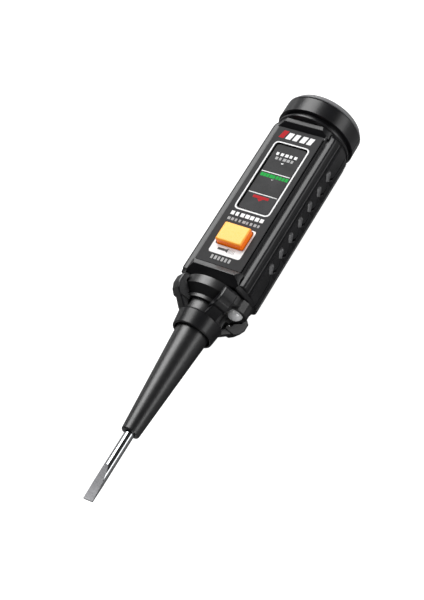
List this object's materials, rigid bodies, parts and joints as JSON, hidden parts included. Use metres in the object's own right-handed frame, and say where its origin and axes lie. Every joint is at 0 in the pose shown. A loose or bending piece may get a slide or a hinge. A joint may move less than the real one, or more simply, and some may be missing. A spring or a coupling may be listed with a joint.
{
  "type": "non contact voltage tester",
  "caption": "Pen-shaped voltage tester with a flat screwdriver blade, tapered sleeve, lugged collar, label window, push button, torch light and screw-in end cap.",
  "frame": {"origin": "middle of the pen's footprint, on the surface that it lies on, label up", "axes": "+Y along the pen from blade tip to end cap, +Z out of the label, +X to the label's right, where the torch light sits"},
  "size_m": [0.0248, 0.14, 0.025],
  "materials": {
    "steel": "polished rod, ground tip",
    "gloss_black": "polished",
    "satin_black": "satin",
    "plate_grey": "satin print",
    "cap_grey": "satin",
    "clear_epoxy": "clear",
    "smoked_lens": "smoked gloss",
    "baffle_black": "matte",
    "amber": "soft gloss",
    "board_green": "solder mask",
    "chip_black": "moulded",
    "resistor_lacquer": "lacquer",
    "capacitor_amber": "moulded",
    "led_white": "moulded",
    "led_green": "moulded",
    "led_red": "moulded",
    "nickel": "nickel plated",
    "cell_steel": "bright can",
    "seal_rubber": "matte",
    "cradle_grey": "matte",
    "zinc": "zinc plated"
  },
  "bodies": {
    "housing": {"blade": "steel", "taper_sleeve": "gloss_black", "front_collar": "satin_black", "nose_core": "gloss_black", "torch_led": "clear_epoxy", "torch_lead_anode": "nickel", "torch_lead_cathode": "nickel", "front_shell": "satin_black", "rear_shell": "satin_black", "shell_screw_1": "zinc", "shell_screw_2": "zinc", "label_plate": "plate_grey", "window_lens": "smoked_lens", "light_baffle": "baffle_black", "switch_housing": "chip_black", "circuit_board": "board_green", "indicator_red": "led_red", "indicator_green": "led_green", "indicator_white": "led_white", "controller_chip": "chip_black", "chip_capacitor": "capacitor_amber", "chip_resistor_1": "chip_black", "chip_resistor_2": "chip_black", "limiting_resistor": "resistor_lacquer", "tip_spring": "nickel", "battery_cell_1": "cell_steel", "battery_cell_2": "cell_steel", "battery_cell_3": "cell_steel", "battery_cradle": "cradle_grey", "spring_plate": "nickel", "battery_spring": "nickel", "battery_strip": "nickel"},
    "button": {"button_cap": "amber"},
    "plunger": {"switch_plunger": "chip_black"},
    "seal": {"seal_ring": "seal_rubber"},
    "cap": {"end_cap": "cap_grey", "cap_contact": "nickel"}
  },
  "joints": [
    {"name": "button_press", "type": "slide", "parent": "housing", "child": "button", "axis": [0, 0, -1], "range_m": [0, 0.0005], "stiffness_N_per_m": 1500},
    {"name": "plunger_press", "type": "slide", "parent": "housing", "child": "plunger", "axis": [0, 0, -1], "range_m": [0, 0.0005]},
    {"name": "cap_travel", "type": "slide", "parent": "housing", "child": "seal", "axis": [0, 1, 0], "range_m": [0, 0.0015]},
    {"name": "cap_turn", "type": "hinge", "parent": "seal", "child": "cap", "pos_m": [0, 0.07, 0.0125], "axis": [0, 1, 0], "range_deg": [0, 540]}
  ],
  "couplings": [
    {"joint": "plunger_press", "follows": "button_press", "ratio": 1},
    {"joint": "cap_travel", "follows": "cap_turn", "m_per_rad": 0.00015915}
  ]
}
